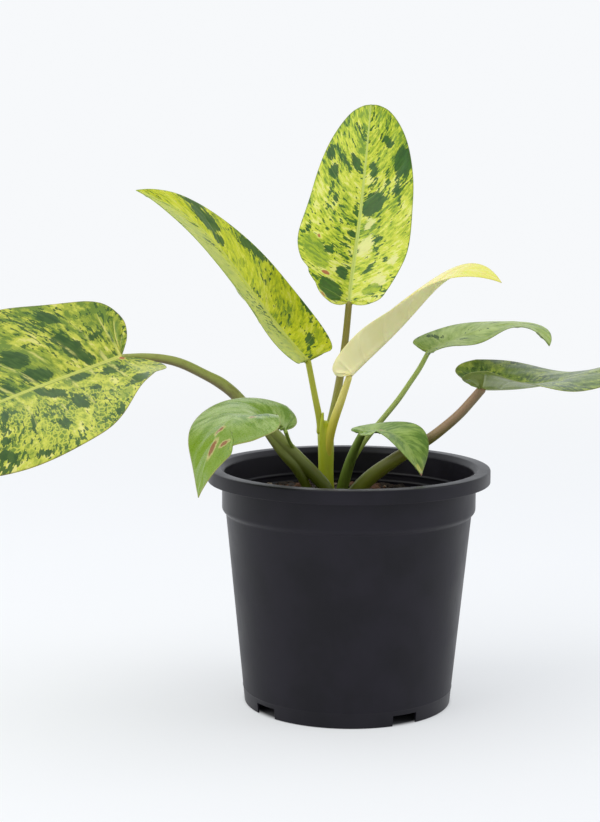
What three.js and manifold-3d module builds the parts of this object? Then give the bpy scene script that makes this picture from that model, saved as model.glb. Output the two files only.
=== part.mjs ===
// Potted spadeleaf philodendron: a variegated plant with eight leaves in a plain nursery pot.
// Millimetres, +Z up. The pot's axis is the Z axis, the floor is z = 0 and the front faces -Y.
import * as THREE from 'three';
import { mergeVertices } from 'three/addons/utils/BufferGeometryUtils.js';
import Module from 'manifold-3d';

const wasm = await Module();
wasm.setup();

// Driving dimensions of the pot
const POT_HEIGHT = 128.5;
const RIM_RADIUS = 76;
const LIP_RADIUS = 69.5;
const RIM_DEPTH = 7.2;
const COLLAR_RADIUS = 68.3;
const STEP_TOP = 105.8;
const STEP_BOTTOM = 103.4;
const FOOT_RADIUS = 56;
const WALL_SLOPE = 0.0985;
const WALL = 1.3;
const RIM_PLATE = 1.8;
const PLATE_UNDER = 6;
const PLATE_TOP = 7.6;
const CENTRE_FOOT_RADIUS = 12;
const NOTCH_WIDTH = 14.5;
const NOTCH_HEIGHT = 5.7;
const NOTCH_ANGLES = [-59, 38.5, 121, 218.5];
const DRAIN_RADIUS = 4.5;
const DRAIN_RING = 34;
const DRAIN_COUNT = 8;
const STACKING_RINGS = [113.8, 109.4];
const STACKING_RISE = 0.5;
const EDGE = 0.8;
const SKIRT = 1.6;
const MOUTH_SLOPE = 2.5;
const CUT_DEPTH = 12;
const POT_SIDES = 48;
const DRAIN_SIDES = 12;

// Driving dimensions of the soil
const SOIL_LEVEL = 107.5;
const SOIL_MOUND = 6;
const SOIL_MOUND_AT = [-26, 16];
const SOIL_MOUND_REACH = 30;
const CLOD_HEIGHT = 0.7;
const SOIL_CLEARANCE = 0.5;
const SOIL_RINGS = 9;
const SOIL_SIDES = 40;

// Clearance between pieces that touch, and the facets across and along each leaf
const SEAT = 0.3;
const FINEST = 0.05;
const SAME_POINT = 0.001;
const SEAT_SHIFTS = [[0, 0, 0], [1, 0, 0], [-1, 0, 0], [0, 1, 0], [0, -1, 0], [0, 0, 1], [0, 0, -1]];
const BLADE_THICKNESS = 0.7;
const MIDRIB_RISE = 0.9;
const MIDRIB_REACH = 2.2;
const BLADE_ROWS = 24;
const BLADE_COLUMNS = 4;
const RAIL_STEPS = 60;
const LEFT_WAVE_SHIFT = 0.37;
const STALK_SIDES = 10;
const STALK_ROWS = 3;

// How the side veins leave the midrib: where the first one starts and how they gather towards the tip
const VEIN_START = 0.3;
const VEIN_POWER = 1.5;
const VEIN_STRAIGHT = 0.35;

// Half outlines from the stalk round the lobe to the tip, as [share of length, share of half width].
// A lobe point's first number is a share of the lobe's reach behind the stalk.
const LOBE_OUTLINE = [[0, 0], [0.75, 0.2], [1, 0.42], [0.45, 0.68]];
const POINTED_OUTLINE = [
  [0.1, 0.88], [0.26, 1], [0.45, 0.96], [0.65, 0.78], [0.82, 0.5], [0.93, 0.22], [1, 0],
];
const BLUNT_OUTLINE = [
  [0.1, 0.88], [0.26, 1], [0.45, 0.99], [0.65, 0.9], [0.83, 0.72], [0.96, 0.4], [1, 0],
];

// Leaves. The blade starts at base and follows its midrib: heading (degrees from +X towards +Y), climb and
// roll are given at the base, middle and tip. Pairs are [right, left] seen from above, looking to the tip.
// fold is how far each half is turned up at the midrib, and curl how much further it bends to its edge.
// wave is the edge's rise, its count along the leaf and its phase, and droop how far a lobe hangs down.
const LEAVES = {
  upright: {
    base: [-0.4, 12, 215.8], length: 119, heading: [83, 67, 80], climb: [46, 74, 68], roll: [9, 4, -3],
    half: [31, 32], lobe: [5, 7], blunt: 0.8, fold: [[35, 9, -8], [36, 10, -11]],
    curl: [[-1, -10, -10], [0, -13, -3]], wave: [0.8, 2.5, 0.1], notch: 1.3,
    bites: [{ side: -1, at: 0.11, depth: 1.8, reach: 0.03 }],
  },
  upper_left: {
    base: [-22.6, -2, 185.6], length: 131, heading: [157, 182, 192], climb: [45, 53, 19],
    roll: [-9, -22, -28], half: [29, 31], lobe: [1, 1], blunt: 0, fold: [[18, 3, 16], [21, 1, 16]],
    curl: [[4, 19, -15], [-13, 27, -26]], wave: [0.6, 2, 0.3],
  },
  far_left: {
    base: [-120.4, -14, 189], length: 164, heading: [208, 235, 218], climb: [-17, -11, -26],
    roll: [-21, -24, -33], half: [57, 56], lobe: [12, 13], blunt: 0.2, fold: [[24, 8, -4], [5, 8, -9]],
    curl: [[-7, -5, -12], [28, -3, -14]], wave: [1.4, 2.5, 0.6], droop: [0, 3],
    bites: [
      { side: -1, at: 0.5, depth: -4.5, reach: 0.2 },
      { side: 1, at: 0.5, depth: 3, reach: 0.1 },
    ],
  },
  small_left: {
    base: [-34.2, -34, 152.6], length: 100, heading: [212, 249, 240], climb: [34, -12, -77],
    roll: [-14, 1, 35], half: [24, 27], lobe: [6, -2], blunt: 0.1, fold: [[66, -18, -3], [60, 0, 3]],
    curl: [[-75, 6, -7], [-60, -26, 12]], wave: [0.6, 2, 0],
    bites: [{ side: -1, at: 0.74, depth: 7, reach: 0.035 }, { side: -1, at: 0, depth: 24, reach: 0.26 }],
  },
  new: {
    base: [0, -7, 178.8], length: 123, heading: [23, -49, -53], climb: [43, 40, -25], roll: [-12, 18, 6],
    half: [16, 15], lobe: [6, 2], blunt: 0, fold: [[76, 11, -13], [60, 25, -1]],
    curl: [[18, 10, -10], [14, 7, 0]], wave: [0.3, 2, 0],
  },
  small_right: {
    base: [42.8, 15, 189], length: 78, heading: [23, -7, -68], climb: [25, 13, -44], roll: [9, 8, -16],
    half: [18, 19], lobe: [4, 2], blunt: 0, fold: [[24, -4, 22], [23, 1, 18]],
    curl: [[-8, -8, -16], [-12, -10, -12]], wave: [0.5, 2, 0.2],
  },
  far_right: {
    base: [68.4, -14, 173.2], length: 118, heading: [1, -20, -14], climb: [-2, 17, -5], roll: [8, 4, 16],
    half: [36, 36], lobe: [11, 12], blunt: 0.2, fold: [[35, 0, -2], [27, 0, 1]],
    curl: [[-5, -10, -10], [-18, -12, -9]], wave: [1, 2.5, 0.5],
  },
  small_front: {
    base: [6.7, -20, 150.1], length: 48, heading: [20, -54, -53], climb: [10, -26, -61], roll: [4, -2, -28],
    half: [15, 15], lobe: [4, 4], blunt: 0.1, fold: [[8, 14, 7], [7, 18, 0]],
    curl: [[-8, 3, -14], [-16, 5, -12]], wave: [0.3, 2, 0],
  },
};

// Routes of the crown and the leaf stalks, from the blade down, as [x, y, z, radius]
const CROWN_ROUTE = [
  [-13.7, 0, 151.5, 3.2], [-12.8, 0, 146, 4.3], [-12.4, -0.2, 137, 4.3], [-12.4, -0.5, 127, 4.1],
  [-12.1, -1, 117, 4.3], [-11.1, -1, 108, 4.8], [-10.5, -1, 97, 4.6],
];
const SHEATH_TIP_ROUTE = [[-14.2, -3.4, 158, 0.5], [-14.6, -3, 152, 1.3], [-13.8, -1.5, 142, 2.6]];
const STALK_ROUTES = {
  upright: [[
    [-0.4, 12, 215.5, 1.8], [-2.2, 11.5, 195.7, 1.9], [-5, 9, 175.5, 2.1], [-8, 5.5, 159.9, 2.2],
    [-11.2, 2.2, 147, 2.2],
  ]],
  upper_left: [[
    [-22.3, -2, 185.4, 1.6], [-18.7, -1.5, 167.3, 1.7], [-15.9, -1, 153.2, 1.9], [-15.6, -1, 147, 2],
  ]],
  new: [[
    [-0.5, -7, 177.6, 1.7], [-4.4, -6, 165.5, 2.1], [-8.4, -4.4, 153.6, 2.4], [-10.2, -3.2, 144, 2.4],
  ]],
  far_left: [
    [
      [-119.6, -14, 188.4, 1.7], [-108.3, -13.3, 188.4, 2.1], [-97.5, -12.5, 187.2, 2.4],
      [-87.9, -11.5, 184.4, 2.6], [-76.3, -10.3, 178.6, 2.7], [-68.7, -9.5, 174.4, 3.1],
      [-61.8, -8.8, 168.9, 3.1], [-55.2, -8, 161.7, 3.3],
      [-46.7, -7.5, 153.8, 3.5], [-38.2, -8, 144.9, 3.5], [-26.4, -9, 133.2, 3.6], [-15, -9.5, 121.5, 3.6],
      [-8.6, -8.5, 112, 3.2],
    ],
    [
      [-46.7, -8.5, 151.9, 2], [-39.5, -9.5, 141.7, 2.2], [-33.8, -10, 135.1, 2.7], [-29.1, -9.8, 130.3, 3],
      [-25.3, -9.2, 124.1, 2.7], [-22.8, -8, 118.4, 2.4], [-19.8, -7, 111.2, 2.4],
    ],
  ],
  small_left: [[
    [-33.9, -34, 152.2, 1.1], [-33, -26, 148.4, 1], [-32, -17, 144.4, 1], [-30.5, -11, 140.8, 1.1],
    [-29.1, -9, 138.3, 1.2],
  ]],
  small_right: [[
    [42.8, 15, 188.6, 1.3], [38.2, 14, 180.1, 1.4], [32.8, 12.5, 172.1, 1.4], [26.6, 11, 163.2, 1.5],
    [18.2, 9, 153, 1.5], [10.1, 7, 143.4, 1.6], [4.9, 5.5, 136, 1.7], [1, 4.5, 128.7, 1.8],
    [-3.3, 3.5, 116.5, 2], [-5.7, 2, 106.9, 2],
  ]],
  far_right: [[
    [69.4, -14, 172.4, 2.4], [64.1, -13.2, 165.9, 2.5], [58, -12.2, 158.8, 2.6], [50.2, -11, 151.5, 2.7],
    [41.4, -10, 144.5, 2.9], [29.6, -8, 137, 3.4], [21.5, -7, 131.4, 3.7], [13.1, -5, 124.8, 4],
    [6, -3.5, 117.8, 4.1], [-0.5, -1.5, 110, 3.8],
  ]],
  small_front: [[
    [6.4, -19.6, 149.2, 2], [3.1, -15, 141.3, 2.3], [0, -10, 131.6, 2.8], [-3.3, -6.5, 118.8, 3.1],
    [-5, -5, 108.2, 2.9],
  ]],
};

// Colours, roughness 0 to 1
const LOOKS = {
  pot: [0x1c1d20, 0.42],
  soil: [0x3a2a20, 0.95],
  crown: [0x8fa62c, 0.5],
  upright: [[0xb2c83a, 0.38], [0x7a7f36, 0.5]],
  upper_left: [[0xb9cc3c, 0.38], [0x95a534, 0.5]],
  far_left: [[0x9db53c, 0.35], [0x6d6e35, 0.5]],
  small_left: [[0x7fa945, 0.35], [0x7a9a3c, 0.5]],
  new: [[0xe6dd8c, 0.42], [0xb8b536, 0.5]],
  small_right: [[0x8fb457, 0.38], [0x93a84a, 0.5]],
  far_right: [[0x8a9c5a, 0.38], [0x7d6a4a, 0.5]],
  small_front: [[0x6f9b52, 0.38], [0x5f8a2e, 0.5]],
};

const radians = THREE.MathUtils.degToRad;

// A smooth reading of evenly spaced values at t from 0 to 1, run on straight past both ends
function smooth(values, t) {
  const last = values.length - 1;
  const place = THREE.MathUtils.clamp(t, 0, 1) * last;
  const i = Math.min(Math.floor(place), last - 1);
  const w = place - i;
  const p1 = values[i];
  const p2 = values[i + 1];
  const p0 = i > 0 ? values[i - 1] : 2 * p1 - p2;
  const p3 = i + 2 <= last ? values[i + 2] : 2 * p2 - p1;
  const a = (p2 - p0) / 2;
  const b = (p3 - p1) / 2;
  return (2 * p1 - 2 * p2 + a + b) * w ** 3 + (3 * p2 - 3 * p1 - 2 * a - b) * w ** 2 + a * w + p1;
}

// The midrib's direction, the blade's right-hand direction and its upper face's direction at t
function leafAxes(leaf, t) {
  const heading = radians(smooth(leaf.heading, t));
  const climb = radians(smooth(leaf.climb, t));
  const roll = radians(smooth(leaf.roll, t));
  const out = new THREE.Vector3(Math.cos(heading), Math.sin(heading), 0);
  const forward = out.clone().multiplyScalar(Math.cos(climb)).setZ(Math.sin(climb));
  const up = out.clone().multiplyScalar(-Math.sin(climb)).setZ(Math.cos(climb));
  const right = forward.clone().cross(up);
  return {
    forward,
    right: right.clone().multiplyScalar(Math.cos(roll)).addScaledVector(up, -Math.sin(roll)),
    up: up.clone().multiplyScalar(Math.cos(roll)).addScaledVector(right, Math.sin(roll)),
  };
}

// The midrib as evenly spaced points, added up from its direction
function midribPoints(leaf) {
  const points = [new THREE.Vector3(...leaf.base)];
  const step = leaf.length / RAIL_STEPS;
  for (let i = 0; i < RAIL_STEPS; i += 1) {
    const { forward } = leafAxes(leaf, (i + 0.5) / RAIL_STEPS);
    points.push(points[i].clone().addScaledVector(forward, step));
  }
  return points;
}

// The half outline on one side, as points in millimetres along and across the leaf
function halfOutline(leaf, side) {
  const half = side > 0 ? leaf.half[0] : leaf.half[1];
  const reach = side > 0 ? leaf.lobe[0] : leaf.lobe[1];
  const lobe = LOBE_OUTLINE.map(([back, out]) => [-back * reach, out * half]);
  const body = POINTED_OUTLINE.map(([along, out], i) => [
    THREE.MathUtils.lerp(along, BLUNT_OUTLINE[i][0], leaf.blunt) * leaf.length,
    THREE.MathUtils.lerp(out, BLUNT_OUTLINE[i][1], leaf.blunt) * half,
  ]);
  return [...lobe, ...body];
}

// A point of the edge at u from 0 (stalk) to 1 (tip), with its bites and the notch of a blunt tip
function edgePoint(leaf, side, outline, u) {
  let along = smooth(outline.map((p) => p[0]), u);
  let across = Math.max(smooth(outline.map((p) => p[1]), u), 0);
  for (const bite of leaf.bites ?? []) {
    if (bite.side === side) {
      across -= bite.depth * Math.exp(-(((along / leaf.length - bite.at) / bite.reach) ** 2));
    }
  }
  if (leaf.notch) along -= leaf.notch * Math.exp(-((across / (2 * leaf.notch)) ** 2)) * u ** 8;
  return [along, Math.max(across, 0)];
}

// The place in space of a flat point, measured along and across one half of the leaf
function leafPoint(leaf, rail, along, across, side) {
  const t = THREE.MathUtils.clamp(along / leaf.length, 0, 1);
  const place = t * RAIL_STEPS;
  const i = Math.min(Math.floor(place), RAIL_STEPS - 1);
  const axes = leafAxes(leaf, t);
  const point = rail[i].clone().lerp(rail[i + 1], place - i);
  point.addScaledVector(axes.forward, along - t * leaf.length);
  const k = side > 0 ? 0 : 1;
  const half = leaf.half[k];
  const share = across / half;
  const fold = radians(smooth(leaf.fold[k], t));
  const bend = radians(smooth(leaf.curl[k], t));
  const curl = Math.abs(bend) < SAME_POINT ? SAME_POINT : bend;
  const out = (half * (Math.sin(fold + curl * share) - Math.sin(fold))) / curl;
  const [rise, count, phase] = leaf.wave;
  const turn = 2 * Math.PI * ((count * along) / leaf.length + phase + (side > 0 ? 0 : LEFT_WAVE_SHIFT));
  let lift = (half * (Math.cos(fold) - Math.cos(fold + curl * share))) / curl
    + rise * share ** 2 * Math.sin(turn);
  if (leaf.droop && along < 0) lift -= leaf.droop[k] * (-along / leaf.lobe[k]) ** 1.5;
  return point.addScaledVector(axes.right, side * out).addScaledVector(axes.up, lift);
}

// The upper face's direction at a flat point, from its neighbours
function leafNormal(leaf, rail, along, across, side) {
  if (across < SAME_POINT) return leafAxes(leaf, THREE.MathUtils.clamp(along / leaf.length, 0, 1)).up;
  const d = FINEST;
  const ahead = leafPoint(leaf, rail, along + d, across, side);
  const behind = leafPoint(leaf, rail, along - d, across, side);
  const outer = leafPoint(leaf, rail, along, across + d, side);
  const inner = leafPoint(leaf, rail, along, Math.max(across - d, 0), side);
  const forward = ahead.sub(behind);
  const right = outer.sub(inner).multiplyScalar(side);
  return right.cross(forward).normalize();
}

// A blade as a closed sheet: its upper face is the leaf's surface, and its thickness and midrib hang below.
function bladeSolid(leaf) {
  const rail = midribPoints(leaf);
  const vertices = [];
  const seen = new Map();
  const addPoint = (along, across, side) => {
    const middle = leafPoint(leaf, rail, along, across, side);
    const key = middle.toArray().map((v) => v.toFixed(3)).join();
    if (!seen.has(key)) {
      const up = leafNormal(leaf, rail, along, across, side);
      const rib = MIDRIB_RISE * Math.exp(-((across / MIDRIB_REACH) ** 2)) * (1 - along / leaf.length);
      seen.set(key, vertices.length / 2);
      vertices.push(middle);
      vertices.push(middle.clone().addScaledVector(up, -BLADE_THICKNESS - Math.max(rib, 0)));
    }
    return seen.get(key);
  };
  const triangles = [];
  const addTriangle = (a, b, c) => {
    if (a !== b && b !== c && c !== a) triangles.push([a, b, c]);
  };
  for (const side of [1, -1]) {
    const outline = halfOutline(leaf, side);
    const tip = edgePoint(leaf, side, outline, 1)[0];
    const rows = [];
    for (let i = 0; i <= BLADE_ROWS; i += 1) {
      const u = i / BLADE_ROWS;
      const [edgeAlong, edgeAcross] = edgePoint(leaf, side, outline, u);
      const start = tip * Math.max((u - VEIN_START) / (1 - VEIN_START), 0) ** VEIN_POWER;
      const row = [];
      for (let j = 0; j <= BLADE_COLUMNS; j += 1) {
        const v = j / BLADE_COLUMNS;
        const bend = VEIN_STRAIGHT * v + (1 - VEIN_STRAIGHT) * v * v;
        const along = start + (edgeAlong - start) * bend;
        row.push(addPoint(along, edgeAcross * v, side));
      }
      rows.push(row);
    }
    for (let i = 0; i < BLADE_ROWS; i += 1) {
      for (let j = 0; j < BLADE_COLUMNS; j += 1) {
        const [a, b, c, d] = [rows[i][j], rows[i + 1][j], rows[i + 1][j + 1], rows[i][j + 1]];
        if (side > 0) {
          addTriangle(a, c, b);
          addTriangle(a, d, c);
        } else {
          addTriangle(a, b, c);
          addTriangle(a, c, d);
        }
      }
    }
  }
  return solidFromSheet(vertices, triangles);
}

// Closes a sheet whose vertices come in pairs, upper and lower: both faces, and a wall along each free edge
function solidFromSheet(vertices, triangles) {
  const faces = [];
  const edges = new Map();
  for (const [a, b, c] of triangles) {
    faces.push([2 * a, 2 * b, 2 * c], [2 * a + 1, 2 * c + 1, 2 * b + 1]);
    for (const [from, to] of [[a, b], [b, c], [c, a]]) {
      if (!edges.delete(`${to} ${from}`)) edges.set(`${from} ${to}`, [from, to]);
    }
  }
  for (const [from, to] of edges.values()) {
    faces.push([2 * from, 2 * from + 1, 2 * to + 1], [2 * from, 2 * to + 1, 2 * to]);
  }
  return new wasm.Manifold(new wasm.Mesh({
    numProp: 3,
    vertProperties: new Float32Array(vertices.flatMap((p) => p.toArray())),
    triVerts: new Uint32Array(faces.flat()),
  }));
}

// A round stalk swept along a smooth route of [x, y, z, radius], with closed ends
function stalkSolid(route, grow = 0) {
  const steps = (route.length - 1) * STALK_ROWS;
  const read = (t, k) => smooth(route.map((p) => p[k]), t);
  const at = (t) => new THREE.Vector3(read(t, 0), read(t, 1), read(t, 2));
  const vertices = [];
  const faces = [];
  const reference = new THREE.Vector3(0, 1, 0);
  for (let i = 0; i <= steps; i += 1) {
    const t = i / steps;
    const ahead = at(Math.min(t + 0.01, 1));
    const along = ahead.sub(at(Math.max(t - 0.01, 0))).normalize();
    const side = reference.clone().cross(along).normalize();
    const front = along.clone().cross(side);
    const radius = read(t, 3) + grow;
    const centre = at(t);
    if (i === 0) centre.addScaledVector(along, -grow);
    if (i === steps) centre.addScaledVector(along, grow);
    for (let j = 0; j < STALK_SIDES; j += 1) {
      const turn = (2 * Math.PI * j) / STALK_SIDES;
      const point = centre.clone().addScaledVector(side, radius * Math.cos(turn));
      vertices.push(point.addScaledVector(front, radius * Math.sin(turn)));
    }
  }
  for (let i = 0; i < steps; i += 1) {
    for (let j = 0; j < STALK_SIDES; j += 1) {
      const next = (j + 1) % STALK_SIDES;
      const a = i * STALK_SIDES + j;
      const b = i * STALK_SIDES + next;
      faces.push([a, b, b + STALK_SIDES], [a, b + STALK_SIDES, a + STALK_SIDES]);
    }
  }
  const end = steps * STALK_SIDES;
  for (let j = 1; j < STALK_SIDES - 1; j += 1) {
    faces.push([0, j + 1, j], [end, end + j, end + j + 1]);
  }
  return new wasm.Manifold(new wasm.Mesh({
    numProp: 3,
    vertProperties: new Float32Array(vertices.flatMap((p) => p.toArray())),
    triVerts: new Uint32Array(faces.flat()),
  }));
}

// A three.js geometry as a solid
function solidFromGeometry(geometry) {
  geometry.deleteAttribute('normal');
  geometry.deleteAttribute('uv');
  const merged = mergeVertices(geometry, SAME_POINT / 10);
  return new wasm.Manifold(new wasm.Mesh({
    numProp: 3,
    vertProperties: new Float32Array(merged.attributes.position.array),
    triVerts: new Uint32Array(merged.index.array),
  }));
}

// A shape turned about the Z axis from a profile of [radius, height]
function turned(profile, sides) {
  const geometry = new THREE.LatheGeometry(profile.map(([r, z]) => new THREE.Vector2(r, z)), sides);
  geometry.rotateX(Math.PI / 2);
  return solidFromGeometry(geometry);
}

function box(width, depth, height, x, y, z, angle) {
  const geometry = new THREE.BoxGeometry(width, depth, height);
  geometry.translate(x, y, z);
  geometry.rotateZ(angle);
  return solidFromGeometry(geometry);
}

function largestBody(solid) {
  return solid.decompose().sort((a, b) => b.volume() - a.volume())[0];
}

// The outside and inside radius of the tapered wall at a height
const wallRadius = (z) => FOOT_RADIUS + WALL_SLOPE * z;
const insideRadius = (z) => wallRadius(z) - WALL;

function potSolid() {
  const collarInside = COLLAR_RADIUS - WALL;
  const rimUnder = POT_HEIGHT - RIM_PLATE;
  const skirtInside = RIM_RADIUS - SKIRT;
  const rings = STACKING_RINGS.flatMap((z) => [
    [collarInside, z + 1], [collarInside - STACKING_RISE, z], [collarInside, z - 1],
  ]);
  const profile = [
    [0, PLATE_TOP], [0, 0], [CENTRE_FOOT_RADIUS, 0], [CENTRE_FOOT_RADIUS + 1, PLATE_UNDER],
    [insideRadius(PLATE_UNDER), PLATE_UNDER], [insideRadius(0) + EDGE / 2, 0], [FOOT_RADIUS - EDGE, 0],
    [wallRadius(EDGE), EDGE], [wallRadius(STEP_BOTTOM), STEP_BOTTOM], [COLLAR_RADIUS, STEP_TOP],
    [COLLAR_RADIUS, rimUnder - EDGE], [COLLAR_RADIUS + EDGE, rimUnder], [skirtInside, rimUnder],
    [skirtInside, POT_HEIGHT - RIM_DEPTH], [RIM_RADIUS - EDGE / 4, POT_HEIGHT - RIM_DEPTH],
    [RIM_RADIUS, POT_HEIGHT - EDGE], [RIM_RADIUS - EDGE, POT_HEIGHT], [LIP_RADIUS, POT_HEIGHT],
    [collarInside, POT_HEIGHT - MOUTH_SLOPE], ...rings, [collarInside, STEP_TOP + EDGE / 2],
    [insideRadius(STEP_BOTTOM), STEP_BOTTOM], [insideRadius(PLATE_TOP + WALL), PLATE_TOP + WALL],
    [insideRadius(PLATE_TOP) - WALL, PLATE_TOP], [0, PLATE_TOP],
  ];
  let pot = turned(profile, POT_SIDES);
  for (const angle of NOTCH_ANGLES) {
    const height = NOTCH_HEIGHT + EDGE;
    const notch = box(CUT_DEPTH, NOTCH_WIDTH, height, FOOT_RADIUS, 0, height / 2 - EDGE, radians(angle));
    pot = pot.subtract(notch);
  }
  for (let i = 0; i < DRAIN_COUNT; i += 1) {
    const angle = (2 * Math.PI * i) / DRAIN_COUNT;
    const hole = new THREE.CylinderGeometry(DRAIN_RADIUS, DRAIN_RADIUS, CUT_DEPTH, DRAIN_SIDES);
    hole.rotateX(Math.PI / 2);
    hole.translate(DRAIN_RING * Math.cos(angle), DRAIN_RING * Math.sin(angle), PLATE_UNDER);
    pot = pot.subtract(solidFromGeometry(hole));
  }
  return pot;
}

// The height of the soil: a low mound behind the stems and small clods all over
function soilHeight(x, y) {
  const far = Math.hypot(x - SOIL_MOUND_AT[0], y - SOIL_MOUND_AT[1]) / SOIL_MOUND_REACH;
  const clods = Math.sin(0.31 * x + 1.3) * Math.cos(0.27 * y) + 0.6 * Math.sin(0.53 * y + 0.21 * x);
  return SOIL_LEVEL + SOIL_MOUND * Math.exp(-far * far) + CLOD_HEIGHT * clods;
}

function soilSolid(stems) {
  const edge = COLLAR_RADIUS - WALL - STACKING_RISE - SOIL_CLEARANCE;
  const foot = PLATE_TOP + SEAT;
  const profile = [
    [0, foot], [insideRadius(PLATE_TOP) - WALL - SOIL_CLEARANCE, foot],
    [insideRadius(foot + WALL) - SOIL_CLEARANCE, foot + WALL],
    [insideRadius(STEP_BOTTOM) - SOIL_CLEARANCE, STEP_BOTTOM], [edge, STEP_TOP + EDGE], [edge, SOIL_LEVEL],
  ];
  for (let i = SOIL_RINGS - 1; i >= 0; i -= 1) profile.push([(edge * i) / SOIL_RINGS, SOIL_LEVEL]);
  const geometry = new THREE.LatheGeometry(profile.map(([r, z]) => new THREE.Vector2(r, z)), SOIL_SIDES);
  geometry.rotateX(Math.PI / 2);
  const positions = geometry.attributes.position;
  for (let i = 0; i < positions.count; i += 1) {
    if (Math.abs(positions.getZ(i) - SOIL_LEVEL) < SAME_POINT) {
      positions.setZ(i, soilHeight(positions.getX(i), positions.getY(i)));
    }
  }
  return stems.reduce((soil, stem) => soil.subtract(stem), solidFromGeometry(geometry));
}

function sweepAll(routes, grow = 0) {
  return routes.map((route) => stalkSolid(route, grow)).reduce((a, b) => a.add(b));
}

function meshFromSolid(name, solid, [colour, roughness]) {
  const mesh = solid.getMesh();
  const geometry = new THREE.BufferGeometry();
  geometry.setAttribute('position', new THREE.BufferAttribute(new Float32Array(mesh.vertProperties), 3));
  geometry.setIndex([...mesh.triVerts]);
  geometry.computeVertexNormals();
  const material = new THREE.MeshStandardMaterial({ color: colour, roughness, metalness: 0 });
  const part = new THREE.Mesh(geometry, material);
  part.name = name;
  return part;
}

const plant = new THREE.Group();
plant.name = 'potted_philodendron';
plant.add(meshFromSolid('pot', potSolid(), LOOKS.pot));

const crownRoutes = [CROWN_ROUTE, SHEATH_TIP_ROUTE];
plant.add(meshFromSolid('crown', sweepAll(crownRoutes), LOOKS.crown));

// Each stalk is cut clear of its blade, the crown and the stalks before it
const seated = [sweepAll(crownRoutes, SEAT)];
for (const [name, leaf] of Object.entries(LEAVES)) {
  const blade = bladeSolid(leaf);
  plant.add(meshFromSolid(`blade_${name}`, blade, LOOKS[name][0]));
  let stalk = sweepAll(STALK_ROUTES[name]);
  for (const other of seated) stalk = stalk.subtract(other);
  for (const shift of SEAT_SHIFTS) stalk = stalk.subtract(blade.translate(shift.map((v) => v * SEAT)));
  plant.add(meshFromSolid(`petiole_${name}`, largestBody(stalk.simplify(FINEST)), LOOKS[name][1]));
  seated.push(sweepAll(STALK_ROUTES[name], SEAT));
}
plant.add(meshFromSolid('soil', largestBody(soilSolid(seated)), LOOKS.soil));

export default plant;
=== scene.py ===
"""The potted spadeleaf philodendron with its fine surface: blades, stalks, potting mix and nursery pot."""
import math

import bmesh
import bpy
import numpy as np
from mathutils import Matrix, Vector, noise


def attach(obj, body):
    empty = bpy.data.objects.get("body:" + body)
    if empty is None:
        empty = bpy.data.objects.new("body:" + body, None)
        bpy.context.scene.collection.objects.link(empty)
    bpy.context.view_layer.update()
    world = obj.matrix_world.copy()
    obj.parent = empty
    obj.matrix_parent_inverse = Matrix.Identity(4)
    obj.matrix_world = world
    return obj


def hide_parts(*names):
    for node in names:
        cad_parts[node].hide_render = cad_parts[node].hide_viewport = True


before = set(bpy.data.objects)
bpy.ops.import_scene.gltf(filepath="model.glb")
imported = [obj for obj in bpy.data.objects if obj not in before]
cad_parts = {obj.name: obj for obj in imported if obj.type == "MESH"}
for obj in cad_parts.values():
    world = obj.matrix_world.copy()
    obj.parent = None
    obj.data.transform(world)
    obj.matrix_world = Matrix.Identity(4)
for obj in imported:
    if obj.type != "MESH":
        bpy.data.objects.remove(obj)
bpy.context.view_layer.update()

# Millimetres are used for every size below, and turned to metres where a mesh is made
MM = 0.001

# Pot
POT_HEIGHT, RIM_RADIUS, LIP_RADIUS, RIM_DEPTH = 128.5, 76, 69.5, 7.2
COLLAR_RADIUS, STEP_TOP, STEP_BOTTOM = 68.3, 105.8, 103.4
FOOT_RADIUS, WALL_SLOPE, WALL, RIM_PLATE = 56, 0.0985, 1.3, 1.8
PLATE_UNDER, PLATE_TOP, CENTRE_FOOT_RADIUS = 6, 7.6, 12
NOTCH_WIDTH, NOTCH_HEIGHT, NOTCH_ANGLES = 14.5, 5.7, (-59, 38.5, 121, 218.5)
DRAIN_RADIUS, DRAIN_RING, DRAIN_COUNT = 4.5, 34, 8
STACKING_RINGS, STACKING_RISE = (113.8, 109.4), 0.5
EDGE, SKIRT, MOUTH_SLOPE, CUT_DEPTH = 0.8, 1.6, 2.5, 12
FOOT_BEAD, BEAD_RISE, BEAD_REACH = 8.5, 0.25, 0.6
CUTTER_HEIGHT, CORNER_SHARE = 20, 0.48
POT_SIDES, DRAIN_SIDES, POT_CREASE = 192, 40, 38

# Soil
SOIL_LEVEL, SOIL_MOUND, SOIL_MOUND_AT, SOIL_MOUND_REACH = 107.5, 6, (-26, 16), 30
CLOD_HEIGHT, SOIL_CLEARANCE = 0.7, 0.5
SOIL_RINGS, SOIL_SIDES, SOIL_CREASE, SOIL_SPREAD = 90, 220, 32, 0.96
RIPPLE, RIPPLE_WIDTH, GRIT, GRIT_WIDTH = 1.1, 7, 0.5, 1.7
CHIPS, CHIP_SIZES, CHIP_WIDTHS, CHIP_HEIGHTS, CHIP_LIFT = 420, (1.6, 4.6), (0.45, 0.8), (0.2, 0.4), 0.12
CRUMBS, CRUMB_SIZES, CRUMB_SHAPES, CRUMB_LIFT = 900, (0.4, 1.3), (0.6, 1), 0.3
CHIP_TURN, CHIP_TILT, DENTS, BALL_ROUNDS = 6.28, 0.45, 0.22, 2

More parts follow.
